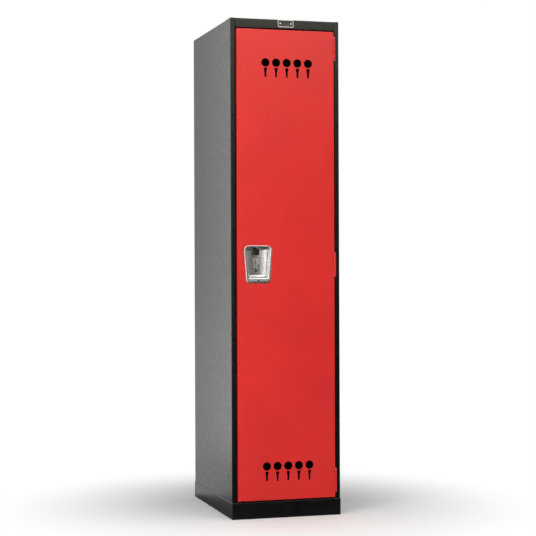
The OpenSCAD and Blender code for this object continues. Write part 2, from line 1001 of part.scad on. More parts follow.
// Fixed ear, welded to the cup's floor beside the moving one
module padlock_staple() {
    foot = 10;
    foot_t = 1.2;
    left = ear_x + ear_slot / 2 + slide_play;
    color("#b4b7b9")
        in_place()
            union() {
                translate([0, 0, ear_z])
                    cross_sheet(left, left + ear_t)
                        ear_outline(cup_floor);
                block(
                    [left, cup_floor - foot_t, ear_z - ear_h / 2],
                    [left + ear_t + foot, cup_floor, ear_z + ear_h / 2]
                );
            }
}

// Nylon blocks between skin and lip that the lock bar slides through
module bar_guides() {
    color("#e6e4da")
        in_place()
            for (z = guide_zs)
                difference() {
                    block(
                        [bar_x - guide_wall, skin_in, z - guide_h / 2],
                        [bar_x + bar_t + guide_wall, lip_in, z + guide_h / 2]
                    );
                    block(
                        [bar_x - slide_play, bar_y - slide_play, z - guide_h / 2 - over],
                        [bar_x + bar_t + slide_play, bar_y + bar_w + slide_play, z + guide_h / 2 + over]
                    );
                }
}

module lock_bar() {
    color("#9b9fa1")
        in_place()
            block([bar_x, bar_y, bar_bottom], [bar_x + bar_t, bar_y + bar_w, bar_top]);
}

// Bent clips on the lock bar that drop behind the frame hooks
module latch_fingers() {
    path = [[door_t + finger_gap - door_half, finger_y], [bar_x, finger_y], [bar_x, bar_y + bar_w]];
    color("#9b9fa1")
        in_place()
            for (z = keeper_zs)
                upright_sheet(z + finger_clear, z + finger_clear + finger_h)
                    polygon(folded(path, finger_t, finger_t / 3));
}

// Plate behind the cup that ties the lock bar to the grip and carries the moving padlock ear
module slide_plate() {
    low = ear_z - ear_h / 2 + latch_lift;
    color("#a9adaf")
        in_place()
            union() {
                block(
                    [bar_x + bar_t, slide_y, tab_z - arm_h / 2],
                    [grip_x + tab_w / 2, slide_y + slide_t, tab_z + arm_h / 2]
                );
                block(
                    [bar_x + bar_t, bar_y, tab_z - arm_h / 2],
                    [bar_x + 2 * bar_t, slide_y + slide_t, tab_z + arm_h / 2]
                );
                block([ear_x - 3.5 * ear_t, slide_y, low], [ear_x + 3.5 * ear_t, slide_y + slide_t, tab_z]);
                block(
                    [grip_x - tab_w / 2, tab_front, tab_z - slide_t / 2],
                    [grip_x + tab_w / 2, slide_y + slide_t / 2, tab_z + slide_t / 2]
                );
                translate([0, 0, ear_z + latch_lift])
                    cross_sheet(ear_x - ear_t / 2, ear_x + ear_t / 2)
                        ear_outline(slide_y + slide_t / 2);
            }
}

// Moulded finger grip pushed over the slide plate's tab
module lift_grip() {
    r = 2.5;
    play = 0.1;
    back = cup_floor - 2 * slide_play;
    color("#141414")
        in_place()
            difference() {
                cross_sheet(grip_x - grip_w / 2, grip_x + grip_w / 2)
                    polygon(concat(
                        [[back, grip_top - grip_h], [back, grip_top]],
                        arc([grip_front + r, grip_top - r], r, 90, 180, bend_steps),
                        arc([grip_front + r, grip_top - grip_h + r], r, 180, 270, bend_steps),
                        arc([grip_front + 8, grip_top - grip_h], 2, 180, 0, 6)
                    ));
                block(
                    [grip_x - tab_w / 2 - play, tab_front - play, tab_z - slide_t / 2 - play],
                    [grip_x + tab_w / 2 + play, back + over, tab_z + slide_t / 2 + play]
                );
            }
}

// Upper and lower end of knuckle k of five, counted up from the hinge's foot
function knuckle_low(k) = -hinge_h / 2 + k * hinge_h / 5 + (k > 0 ? knuckle_gap / 2 : 0);
function knuckle_high(k) = -hinge_h / 2 + (k + 1) * hinge_h / 5 - (k < 4 ? knuckle_gap / 2 : 0);

// One leaf with its knuckles: ks are its own, gaps are the other leaf's
module hinge_leaf(z, x0, x1, ks, gaps) {
    translate([0, 0, z])
        difference() {
            union() {
                block([x0, axis_y, -hinge_h / 2], [x1, leaf_d, hinge_h / 2]);
                for (k = ks)
                    translate([axis_x, axis_y, knuckle_low(k)])
                        cylinder(r = barrel_r, h = knuckle_high(k) - knuckle_low(k));
            }
            for (k = gaps)
                block(
                    [x0 - over, axis_y - barrel_r - over, knuckle_low(k) - knuckle_gap],
                    [x1 + over, axis_y + barrel_r + notch_gap, knuckle_high(k) + knuckle_gap]
                );
            translate([axis_x, axis_y, -hinge_h / 2 - over])
                cylinder(r = pin_r + pin_play, h = hinge_h + 2 * over);
        }
}

module hinge_frame_leaf(z) {
    color("#d8352f")
        in_place()
            hinge_leaf(z, opening_half - leaf_t, opening_half, [0, 2, 4], [1, 3]);
}

module hinge_door_leaf(z) {
    color("#d8352f")
        in_place()
            hinge_leaf(z, door_half, door_half + leaf_t, [1, 3], [0, 2, 4]);
}

module hinge_pin(z) {
    color("#8a8d8f")
        in_place()
            translate([axis_x, axis_y, z - hinge_h / 2])
                union() {
                    cylinder(r = pin_r, h = hinge_h);
                    translate([0, 0, hinge_h])
                        cylinder(r1 = pin_r + 1, r2 = pin_r, h = pin_tip);
                    translate([0, 0, -pin_tip])
                        cylinder(r1 = pin_r, r2 = pin_r + 1, h = pin_tip);
                }
}

module hinge_frame_leaf_upper() {
    hinge_frame_leaf(hinge_zs[0]);
}

module hinge_frame_leaf_middle() {
    hinge_frame_leaf(hinge_zs[1]);
}

module hinge_frame_leaf_lower() {
    hinge_frame_leaf(hinge_zs[2]);
}

module hinge_door_leaf_upper() {
    hinge_door_leaf(hinge_zs[0]);
}

module hinge_door_leaf_middle() {
    hinge_door_leaf(hinge_zs[1]);
}

module hinge_door_leaf_lower() {
    hinge_door_leaf(hinge_zs[2]);
}

module hinge_pin_upper() {
    hinge_pin(hinge_zs[0]);
}

module hinge_pin_middle() {
    hinge_pin(hinge_zs[1]);
}

module hinge_pin_lower() {
    hinge_pin(hinge_zs[2]);
}

// Blank aluminium plate riveted to the header
module number_plate() {
    color("#3a3d3e")
        in_place()
            translate([plate_x, 0, plate_z])
                difference() {
                    depth_sheet(-plate_t, 0)
                        polygon(rounded(plate_w, plate_h, plate_corner_r));
                    for (side = [-1, 1])
                        hole_y(side * plate_rivets_apart / 2, -plate_t - over, over, 0, rivet_r);
                }
}

module plate_rivets() {
    color("#c4c7c8")
        in_place()
            for (side = [-1, 1])
                translate([plate_x + side * plate_rivets_apart / 2, -plate_t, plate_z])
                    rotate([90, 0, 0])
                        union() {
                            cylinder(r1 = 2 * rivet_r, r2 = rivet_r, h = 0.8);
                            translate([0, 0, -plate_t])
                                cylinder(r = rivet_r - 0.05, h = plate_t);
                        }
}

base_front();
base_rear();
base_left();
base_right();
upright_left();
upright_right();
upright_leg_left();
upright_leg_right();
door_stop_left();
door_stop_right();
header();
sill();
side_panel_left();
side_panel_right();
back_flange_left();
back_flange_right();
back_panel();
top_panel();
floor_panel();
hat_shelf();
shelf_screws();
ceiling_hook();
wall_hook_left();
wall_hook_right();
wall_hook_back();
frame_hook_upper();
frame_hook_middle();
frame_hook_lower();
silencers();
door_skin();
door_edge_latch();
door_edge_hinge();
door_edge_top();
door_edge_bottom();
door_stiffener();
handle_cup();
cup_rivet();
padlock_staple();
bar_guides();
lock_bar();
latch_fingers();
slide_plate();
lift_grip();
hinge_frame_leaf_upper();
hinge_frame_leaf_middle();
hinge_frame_leaf_lower();
hinge_door_leaf_upper();
hinge_door_leaf_middle();
hinge_door_leaf_lower();
hinge_pin_upper();
hinge_pin_middle();
hinge_pin_lower();
number_plate();
plate_rivets();
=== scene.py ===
import math

import bmesh
import bpy
from mathutils import Matrix, Vector


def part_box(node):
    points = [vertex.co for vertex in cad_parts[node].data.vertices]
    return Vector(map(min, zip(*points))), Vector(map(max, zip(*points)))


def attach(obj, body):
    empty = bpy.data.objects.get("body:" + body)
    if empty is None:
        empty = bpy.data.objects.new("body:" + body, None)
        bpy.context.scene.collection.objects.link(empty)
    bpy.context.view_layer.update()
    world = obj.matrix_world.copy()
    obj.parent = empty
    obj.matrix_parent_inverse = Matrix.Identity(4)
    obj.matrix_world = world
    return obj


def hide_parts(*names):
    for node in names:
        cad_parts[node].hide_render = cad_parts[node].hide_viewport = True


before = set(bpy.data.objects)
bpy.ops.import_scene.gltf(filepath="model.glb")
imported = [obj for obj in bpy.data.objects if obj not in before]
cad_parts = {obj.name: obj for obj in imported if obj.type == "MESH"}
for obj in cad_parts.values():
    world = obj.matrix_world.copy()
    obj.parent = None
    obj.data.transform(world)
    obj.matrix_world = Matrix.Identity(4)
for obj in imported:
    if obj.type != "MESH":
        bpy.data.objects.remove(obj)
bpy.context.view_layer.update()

# Camera
# It stands five metres in front of the locker and to its left, level with the middle
# of the door, with a long lens, as the photograph was taken.
right = Vector((0.9599, -0.2803, -0.0039)).normalized()
ahead = Vector((0.2803, 0.9599, -0.0013)).normalized()
up = right.cross(ahead).normalized()
right = ahead.cross(up)
stand = Vector((-1.4611, -5.05055, 0.8466))
lens = bpy.data.cameras.new("camera")
lens.lens = 99.78
lens.sensor_width = 36.0
lens.clip_end = 60.0
camera = bpy.data.objects.new("camera", lens)
camera.matrix_world = Matrix((
    (right.x, up.x, -ahead.x, stand.x),
    (right.y, up.y, -ahead.y, stand.y),
    (right.z, up.z, -ahead.z, stand.z),
    (0.0, 0.0, 0.0, 1.0),
))
bpy.context.collection.objects.link(camera)
bpy.context.scene.camera = camera

# Room
# A pale floor in a white studio. The floor takes the locker's shadow and runs out to
# plain white. Of the eight soft lamps three stand on the left, two in front, one on the
# right, one overhead and one behind.
bpy.context.scene.view_settings.view_transform = "Standard"


def add_node(tree, kind, **values):
    """A node of a tree, with the values of its sockets."""
    made = tree.nodes.new(kind)
    for name, value in values.items():
        made.inputs[name.replace("_", " ")].default_value = value
    return made


def joined(tree, *pairs):
    """Links between sockets, each pair from an output to an input."""
    for out, into in pairs:
        tree.links.new(out, into)


def combined(tree, operation, first, second):
    """The output of a Math node between two sockets or numbers."""
    made = tree.nodes.new("ShaderNodeMath")
    made.operation = operation
    for socket, value in zip(made.inputs, (first, second)):
        if isinstance(value, (int, float)):
            socket.default_value = value
        else:
            tree.links.new(value, socket)
    return made.outputs[0]


studio = bpy.data.worlds.new("studio")
studio.use_nodes = True
sky = studio.node_tree
sky.nodes.clear()
rays = sky.nodes.new("ShaderNodeLightPath")
way = sky.nodes.new("ShaderNodeTexCoord")
parts = sky.nodes.new("ShaderNodeSeparateXYZ")
joined(sky, (way.outputs["Generated"], parts.inputs[0]))
# What gloss and metal see: white behind, and in front a room that is dark below eye level
behind = add_node(sky, "ShaderNodeMapRange", From_Min=-0.3, From_Max=0.3)
behind.interpolation_type = "SMOOTHSTEP"
ahead_of_it = add_node(sky, "ShaderNodeMapRange", From_Min=0.06, From_Max=0.30,
                       To_Min=0.0, To_Max=0.38)
ahead_of_it.interpolation_type = "SMOOTHSTEP"
seen = add_node(sky, "ShaderNodeMapRange", To_Max=0.61)
joined(
    sky,
    (parts.outputs["Y"], behind.inputs["Value"]), (parts.outputs["Z"], ahead_of_it.inputs["Value"]),
    (behind.outputs["Result"], seen.inputs["Value"]),
    (ahead_of_it.outputs["Result"], seen.inputs["To Min"]),
)
soft = add_node(sky, "ShaderNodeBackground", Color=(1.0, 1.0, 1.0, 1.0), Strength=0.15)
gloss = add_node(sky, "ShaderNodeBackground", Color=(1.0, 1.0, 1.0, 1.0))
white = add_node(sky, "ShaderNodeBackground", Color=(1.0, 1.0, 1.0, 1.0), Strength=1.0)
joined(sky, (seen.outputs["Result"], gloss.inputs["Strength"]))
first = sky.nodes.new("ShaderNodeMixShader")
second = sky.nodes.new("ShaderNodeMixShader")
out = sky.nodes.new("ShaderNodeOutputWorld")
bright = combined(sky, "MAXIMUM", rays.outputs["Is Camera Ray"], rays.outputs["Is Transmission Ray"])
joined(
    sky,
    (rays.outputs["Is Glossy Ray"], first.inputs[0]), (soft.outputs[0], first.inputs[1]),
    (gloss.outputs[0], first.inputs[2]), (bright, second.inputs[0]),
    (first.outputs[0], second.inputs[1]), (white.outputs[0], second.inputs[2]),
    (second.outputs[0], out.inputs["Surface"]),
)
bpy.context.scene.world = studio

floor_mesh = bpy.data.meshes.new("studio_floor")
floor_mesh.from_pydata([(-20, -20, 0), (20, -20, 0), (20, 20, 0), (-20, 20, 0)], [], [(0, 1, 2, 3)])
studio_floor = bpy.data.objects.new("studio_floor", floor_mesh)
bpy.context.collection.objects.link(studio_floor)
floor_paint = bpy.data.materials.new("floor_paint")
floor_paint.use_nodes = True
tree = floor_paint.node_tree
tree.nodes.clear()
rays = tree.nodes.new("ShaderNodeLightPath")
way = tree.nodes.new("ShaderNodeTexCoord")
reach = tree.nodes.new("ShaderNodeVectorMath")
reach.operation = "LENGTH"
far = add_node(tree, "ShaderNodeMapRange", From_Min=0.28, From_Max=1.0)
far.interpolation_type = "SMOOTHSTEP"
seen = combined(tree, "MAXIMUM", rays.outputs["Is Camera Ray"], rays.outputs["Is Transmission Ray"])
fade = combined(tree, "MULTIPLY", far.outputs["Result"], seen)
matt = add_node(tree, "ShaderNodeBsdfDiffuse", Color=(0.92, 0.92, 0.92, 1.0))
plain = add_node(tree, "ShaderNodeEmission", Color=(1.0, 1.0, 1.0, 1.0), Strength=1.0)
# Gloss sees a dark floor in front and close by, and a pale one further behind
spot = tree.nodes.new("ShaderNodeSeparateXYZ")
rear = add_node(tree, "ShaderNodeMapRange", From_Min=-0.42, From_Max=-0.22)
rear.interpolation_type = "SMOOTHSTEP"
ring = add_node(tree, "ShaderNodeMapRange", From_Min=0.33, From_Max=0.43, To_Min=0.13, To_Max=0.78)
ring.interpolation_type = "SMOOTHSTEP"
joined(tree, (way.outputs["Object"], spot.inputs[0]), (spot.outputs["Y"], rear.inputs["Value"]),
       (reach.outputs["Value"], ring.inputs["Value"]))
pale = combined(tree, "MULTIPLY", rear.outputs["Result"], ring.outputs["Result"])
mirrored = add_node(tree, "ShaderNodeEmission", Color=(1.0, 1.0, 1.0, 1.0))
mix = tree.nodes.new("ShaderNodeMixShader")
polish = tree.nodes.new("ShaderNodeMixShader")
out = tree.nodes.new("ShaderNodeOutputMaterial")
joined(
    tree,
    (way.outputs["Object"], reach.inputs[0]), (reach.outputs["Value"], far.inputs["Value"]),
    (fade, mix.inputs[0]), (matt.outputs[0], mix.inputs[1]), (plain.outputs[0], mix.inputs[2]),
    (pale, mirrored.inputs["Strength"]),
    (rays.outputs["Is Glossy Ray"], polish.inputs[0]), (mix.outputs[0], polish.inputs[1]),
    (mirrored.outputs[0], polish.inputs[2]), (polish.outputs[0], out.inputs["Surface"]),
)
floor_mesh.materials.append(floor_paint)

neutral, warm = (1.0, 1.0, 1.0), (1.0, 0.93, 0.77)
for name, place, size, power, height, colour in (
    ("lamp_left", (-1.7, -1.9, 2.2), (1.2, 1.2), 13.0, 0.9, neutral),
    ("lamp_near", (-1.25, -1.15, 1.2), (0.6, 2.0), 5.2, 0.9, neutral),
    ("lamp_close", (-0.95, -0.95, 0.7), (0.4, 1.4), 2.4, 0.8, neutral),
    ("lamp_front", (-0.2, -3.9, 1.3), (0.55, 2.5), 14.0, 0.9, neutral),
    ("lamp_right", (2.4, -3.0, 1.5), (1.6, 2.4), 4.0, 0.9, warm),
    ("lamp_high", (1.2, -4.1, 3.0), (2.2, 1.4), 34.0, 1.6, warm),
    ("lamp_above", (0.2, -0.6, 4.0), (3.0, 3.0), 76.0, 0.9, neutral),
    ("lamp_behind", (-0.85, 1.3, 0.9), (0.4, 2.4), 4.1, 0.9, neutral),
):
    lamp = bpy.data.lights.new(name, "AREA")
    lamp.shape = "RECTANGLE"
    lamp.size, lamp.size_y = size
    lamp.energy = power
    lamp.color = colour
    holder = bpy.data.objects.new(name, lamp)
    aim = Vector((0.0, 0.0, height)) - Vector(place)
    holder.matrix_world = Matrix.Translation(place) @ aim.to_track_quat("-Z", "Y").to_matrix().to_4x4()
    holder.visible_camera = False
    bpy.context.collection.objects.link(holder)

# Base
# Four folded plates of black powder coated steel close the space under the floor
# tray. Their edges are eased by the coat, which has a fine orange peel.


def powder_coat(name, colour, roughness, specular, peel):
    """Powder coat: its colour drifts a little, and its surface has a fine orange peel."""
    paint = bpy.data.materials.new(name)
    paint.use_nodes = True
    tree = paint.node_tree
    shader = tree.nodes["Principled BSDF"]
    shader.inputs["Specular IOR Level"].default_value = specular
    place = tree.nodes.new("ShaderNodeTexCoord")
    drift = add_node(tree, "ShaderNodeTexNoise", Scale=4.0, Detail=3.0, Roughness=0.5)
    tone = tree.nodes.new("ShaderNodeValToRGB")
    tone.color_ramp.elements[0].position = 0.3
    tone.color_ramp.elements[0].color = (*[0.93 * c for c in colour], 1.0)
    tone.color_ramp.elements[1].position = 0.7
    tone.color_ramp.elements[1].color = (*[min(1.0, 1.05 * c) for c in colour], 1.0)
    patch = add_node(tree, "ShaderNodeTexNoise", Scale=55.0, Detail=4.0, Roughness=0.6)
    sheen = add_node(tree, "ShaderNodeMapRange", From_Min=0.3, From_Max=0.7,
                     To_Min=roughness - 0.04, To_Max=roughness + 0.05)
    grain = add_node(tree, "ShaderNodeTexNoise", Scale=620.0, Detail=2.0, Roughness=0.45)
    wave = add_node(tree, "ShaderNodeTexNoise", Scale=170.0, Detail=1.0, Roughness=0.4)
    height = tree.nodes.new("ShaderNodeMath")
    height.operation = "MULTIPLY_ADD"
    height.inputs[1].default_value = 1.6
    bump = add_node(tree, "ShaderNodeBump", Strength=peel, Distance=0.0004)
    joined(
        tree,
        (place.outputs["Object"], drift.inputs["Vector"]), (place.outputs["Object"], patch.inputs["Vector"]),
        (place.outputs["Object"], grain.inputs["Vector"]), (place.outputs["Object"], wave.inputs["Vector"]),
        (drift.outputs["Fac"], tone.inputs["Fac"]), (tone.outputs["Color"], shader.inputs["Base Color"]),
        (patch.outputs["Fac"], sheen.inputs["Value"]), (sheen.outputs["Result"], shader.inputs["Roughness"]),
        (wave.outputs["Fac"], height.inputs[0]), (grain.outputs["Fac"], height.inputs[2]),
        (height.outputs[0], bump.inputs["Height"]), (bump.outputs["Normal"], shader.inputs["Normal"]),
    )
    return paint


def finished(mesh, name, body, slot, finish, *nodes, smooth=35.0):
    """A mesh as a piece of the locker, on its body and in place of its CAD nodes."""
    mesh.polygons.foreach_set("use_smooth", [True] * len(mesh.polygons))
    mesh.set_sharp_from_angle(angle=math.radians(smooth))
    if finish is not None:
        mesh.materials.clear()
        mesh.materials.append(finish)
    piece = bpy.data.objects.new(name, mesh)
    bpy.context.collection.objects.link(piece)
    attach(piece, body)
    if nodes:
        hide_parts(*nodes)
    return piece


def dressed(node, body, slot, finish, edge=0.0004, seam=None):
    """A CAD node's form as one clean skin, its sharp edges eased but those in a seam."""
    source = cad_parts[node].data
    mesh = bpy.data.meshes.new(node + "_dressed")
    mesh.from_pydata([v.co[:] for v in source.vertices], [], [p.vertices[:] for p in source.polygons])
    shape = bmesh.new()
    shape.from_mesh(mesh)
    bmesh.ops.remove_doubles(shape, verts=shape.verts, dist=3e-6)
    bmesh.ops.dissolve_limit(shape, angle_limit=math.radians(0.4), verts=shape.verts, edges=shape.edges)
    weight = shape.edges.layers.float.new("bevel_weight_edge")
    for line in shape.edges:
        flush = seam is not None and all(abs(v.co[seam[0]] - seam[1]) < 2e-5 for v in line.verts)
        if len(line.link_faces) == 2 and line.calc_face_angle(0.0) > math.radians(35) and not flush:
            line[weight] = 1.0
    shape.to_mesh(mesh)
    shape.free()
    piece = finished(mesh, node + "_dressed", body, slot, finish, node)
    ease = piece.modifiers.new("eased", "BEVEL")
    ease.width = edge
    ease.segments = 2
    ease.limit_method = "WEIGHT"
    ease.harden_normals = True
    flat = piece.modifiers.new("flat_faces", "WEIGHTED_NORMAL")
    flat.keep_sharp = True
    return piece


black_coat = powder_coat("black_coat", (0.0038, 0.0040, 0.0041), 0.29, 0.36, 0.16)
for node in ("base_front", "base_rear", "base_left", "base_right"):
    dressed(node, "cabinet", "body_black", black_coat)

# Front frame
# Folded steel uprights, header and sill, welded square and powder coated black. The
# closed door's lip faces strips that are welded behind the uprights' inner edges.
frame_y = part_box("header")[0][1]
leg_front = frame_y + 0.022
for side in ("left", "right"):
    for node in ("upright_", "upright_leg_"):
        dressed(node + side, "cabinet", "body_black", black_coat, seam=(1, leg_front))
for node in ("door_stop_left", "door_stop_right", "header", "sill"):
    dressed(node, "cabinet", "body_black", black_coat)

# Sheets of the box
# Thin folded steel sheets lap the frame and each other and are spot welded through their
# flanges. They are rolled flat, and carry the same black coat as the frame.
for node in ("side_panel_left", "side_panel_right", "back_flange_left", "back_flange_right",
             "back_panel", "top_panel", "floor_panel"):
    dressed(node, "cabinet", "body_black", black_coat, edge=0.0003)

# Hat shelf
# A folded tray of the same coated sheet. Two pan head screws hold it on each side,
# through the side sheets, and their heads show outside.
dressed("hat_shelf", "cabinet", "body_black", black_coat, edge=0.0003)


def named_input(tree, name, kind, value=None):
    """A named input of a Geometry Nodes tree."""
    made = tree.interface.new_socket(name=name, in_out="INPUT", socket_type=kind)
    if value is not None:
        made.default_value = value
    return made


def fastener_tree():
    """Nodes that set a domed head on a shank, with or without a cross recess, on each point."""
    tree = bpy.data.node_groups.new("fasteners", "GeometryNodeTree")
    named_input(tree, "Places", "NodeSocketGeometry")
    named_input(tree, "Head Radius", "NodeSocketFloat", 0.005)
    named_input(tree, "Head Height", "NodeSocketFloat", 0.0013)
    named_input(tree, "Shank Radius", "NodeSocketFloat", 0.0022)
    named_input(tree, "Shank Length", "NodeSocketFloat", 0.005)
    named_input(tree, "Recess", "NodeSocketFloat", 0.55)
    named_input(tree, "Turn", "NodeSocketVector")
    named_input(tree, "Finish", "NodeSocketMaterial")
    tree.interface.new_socket(name="Fasteners", in_out="OUTPUT", socket_type="NodeSocketGeometry")
    given = tree.nodes.new("NodeGroupInput").outputs
    ball = add_node(tree, "GeometryNodeMeshUVSphere", Segments=28, Rings=14, Radius=1.0)
    squash = tree.nodes.new("ShaderNodeCombineXYZ")
    domed = tree.nodes.new("GeometryNodeTransform")
    cutters = tree.nodes.new("GeometryNodeJoinGeometry")
    joined(
        tree,
        (given["Head Radius"], squash.inputs["X"]), (given["Head Radius"], squash.inputs["Y"]),
        (given["Head Height"], squash.inputs["Z"]), (ball.outputs["Mesh"], domed.inputs["Geometry"]),
        (squash.outputs[0], domed.inputs["Scale"]),
    )
    long_arm = combined(tree, "MULTIPLY", given["Head Radius"], given["Recess"])
    long_arm = combined(tree, "MULTIPLY", long_arm, 2.0)
    short_arm = combined(tree, "MULTIPLY", long_arm, 0.24)
    for across in (True, False):
        size = tree.nodes.new("ShaderNodeCombineXYZ")
        bar = tree.nodes.new("GeometryNodeMeshCube")
        lift = tree.nodes.new("ShaderNodeCombineXYZ")
        raised = tree.nodes.new("GeometryNodeTransform")
        joined(
            tree,
            (long_arm if across else short_arm, size.inputs["X"]),
            (short_arm if across else long_arm, size.inputs["Y"]),
            (given["Head Height"], size.inputs["Z"]), (size.outputs[0], bar.inputs["Size"]),
            (given["Head Height"], lift.inputs["Z"]), (bar.outputs["Mesh"], raised.inputs["Geometry"]),
            (lift.outputs[0], raised.inputs["Translation"]),
            (raised.outputs["Geometry"], cutters.inputs["Geometry"]),
        )
    cut = tree.nodes.new("GeometryNodeMeshBoolean")
    cut.operation = "DIFFERENCE"
    cut.solver = "EXACT"
    shank = add_node(tree, "GeometryNodeMeshCylinder", Vertices=20)
    sink = tree.nodes.new("ShaderNodeCombineXYZ")
    sunk = tree.nodes.new("GeometryNodeTransform")
    both = tree.nodes.new("GeometryNodeJoinGeometry")
    spread = tree.nodes.new("GeometryNodeInstanceOnPoints")
    real = tree.nodes.new("GeometryNodeRealizeInstances")
    coat = tree.nodes.new("GeometryNodeSetMaterial")
    given_out = tree.nodes.new("NodeGroupOutput")
    joined(
        tree,
        (domed.outputs["Geometry"], cut.inputs["Mesh 1"]),
        (cutters.outputs["Geometry"], cut.inputs["Mesh 2"]),
        (given["Shank Radius"], shank.inputs["Radius"]), (given["Shank Length"], shank.inputs["Depth"]),
        (combined(tree, "MULTIPLY", given["Shank Length"], -0.5), sink.inputs["Z"]),
        (shank.outputs["Mesh"], sunk.inputs["Geometry"]), (sink.outputs[0], sunk.inputs["Translation"]),
        (sunk.outputs["Geometry"], both.inputs["Geometry"]), (cut.outputs["Mesh"], both.inputs["Geometry"]),
        (given["Places"], spread.inputs["Points"]), (both.outputs["Geometry"], spread.inputs["Instance"]),
        (given["Turn"], spread.inputs["Rotation"]), (spread.outputs["Instances"], real.inputs["Geometry"]),
        (real.outputs["Geometry"], coat.inputs["Geometry"]), (given["Finish"], coat.inputs["Material"]),
        (coat.outputs["Geometry"], given_out.inputs["Fasteners"]),
    )
    return tree


fasteners = fastener_tree()


def fastened(groups, finish):
    """Heads and shanks as one plain mesh. Each group is places, the turn of its heads and sizes."""
    together = bmesh.new()
    for places, turn, sizes in groups:
        spots = bpy.data.meshes.new("spots")
        spots.from_pydata(places, [], [])
        holder = bpy.data.objects.new("spots", spots)
        bpy.context.collection.objects.link(holder)
        grow = holder.modifiers.new("fasteners", "NODES")
        grow.node_group = fasteners
        settings = dict(sizes, Turn=turn, Finish=finish)
        for socket in fasteners.interface.items_tree:
            if socket.in_out == "INPUT" and socket.name in settings:
                grow[socket.identifier] = settings[socket.name]
        made = bpy.data.meshes.new_from_object(holder.evaluated_get(bpy.context.evaluated_depsgraph_get()))
        together.from_mesh(made)
        bpy.data.objects.remove(holder)
    mesh = bpy.data.meshes.new("fasteners")
    together.to_mesh(mesh)
    together.free()
    return mesh


to_left, to_right = (0.0, -math.pi / 2, 0.0), (0.0, math.pi / 2, 0.0)
pan_head = {"Head Radius": 0.0052, "Head Height": 0.0013, "Shank Radius": 0.0022, "Shank Length": 0.0054}
screw_x, screw_z = 0.189, 1.478
screw_ys = [frame_y + 0.073, frame_y + 0.473]
screws = fastened([
    ([(-screw_x, y, screw_z) for y in screw_ys], to_left, pan_head),
    ([(screw_x, y, screw_z) for y in screw_ys], to_right, pan_head),
], black_coat)
finished(screws, "shelf_screw_heads", "cabinet", "body_black", black_coat, "shelf_screws")

# Coat hooks
# Bent wire hooks on small steel plates, zinc plated. Three are riveted to the walls and
# a double one under the shelf.


def plated_steel(name, colour, roughness, mottle):
    """Zinc plated or bare steel: a metal with soft cloudy patches and fine pits."""
    metal = bpy.data.materials.new(name)
    metal.use_nodes = True
    tree = metal.node_tree
    shader = tree.nodes["Principled BSDF"]
    shader.inputs["Metallic"].default_value = 1.0
    place = tree.nodes.new("ShaderNodeTexCoord")
    cloud = add_node(tree, "ShaderNodeTexNoise", Scale=90.0, Detail=5.0, Roughness=0.65)
    tone = tree.nodes.new("ShaderNodeValToRGB")
    tone.color_ramp.elements[0].position = 0.3
    tone.color_ramp.elements[0].color = (*[(1.0 - mottle) * c for c in colour], 1.0)
    tone.color_ramp.elements[1].position = 0.7
    tone.color_ramp.elements[1].color = (*colour, 1.0)
    sheen = add_node(tree, "ShaderNodeMapRange", From_Min=0.3, From_Max=0.7,
                     To_Min=roughness + 0.08, To_Max=roughness - 0.05)
    pits = add_node(tree, "ShaderNodeTexNoise", Scale=900.0, Detail=2.0)
    bump = add_node(tree, "ShaderNodeBump", Strength=0.08, Distance=0.0002)
    joined(
        tree,
        (place.outputs["Object"], cloud.inputs["Vector"]), (place.outputs["Object"], pits.inputs["Vector"]),
        (cloud.outputs["Fac"], tone.inputs["Fac"]), (tone.outputs["Color"], shader.inputs["Base Color"]),
        (cloud.outputs["Fac"], sheen.inputs["Value"]), (sheen.outputs["Result"], shader.inputs["Roughness"]),
        (pits.outputs["Fac"], bump.inputs["Height"]), (bump.outputs["Normal"], shader.inputs["Normal"]),
    )
    return metal


zinc = plated_steel("zinc_plate", (0.62, 0.635, 0.65), 0.34, 0.14)
for node in ("ceiling_hook", "wall_hook_left", "wall_hook_right", "wall_hook_back"):
    dressed(node, "cabinet", "zinc_steel", zinc, edge=0.0005)
hook_rivet = {"Head Radius": 0.0028, "Head Height": 0.0010, "Shank Radius": 0.0014,
              "Shank Length": 0.0018, "Recess": 0.0}
hook_plate = 0.002
lower_rivet, upper_rivet, ceiling_rivet = 0.0042, 0.0075, 0.021
to_front, downward = (math.pi / 2, 0.0, 0.0), (math.pi, 0.0, 0.0)
plates = {name: [Vector(corner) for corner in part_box(name)]
          for name in ("wall_hook_left", "wall_hook_right", "wall_hook_back", "ceiling_hook")}
groups = []
for name, turn in (
    ("wall_hook_left", to_right), ("wall_hook_right", to_left), ("wall_hook_back", to_front),
):
    plate, tip = plates[name]
    across = (plate + tip) / 2
    face = {
        "wall_hook_left": (plate.x + hook_plate, across.y),
        "wall_hook_right": (tip.x - hook_plate, across.y),
        "wall_hook_back": (across.x, tip.y - hook_plate),
    }[name]
    groups.append(([(*face, z) for z in (plate.z + lower_rivet, tip.z - upper_rivet)], turn, hook_rivet))
plate, tip = plates["ceiling_hook"]
places = [(x, (plate.y + tip.y) / 2, tip.z - hook_plate) for x in (-ceiling_rivet, ceiling_rivet)]
groups.append((places, downward, hook_rivet))
finished(fastened(groups, zinc), "hook_rivet_heads", "cabinet", "zinc_steel", zinc)

# Frame hooks and silencers
# Three notched steel hooks, welded to the stop strip on the latch side, hold the latch's
# fingers. A soft rubber button above each of them, on the same strip, quietens the door.


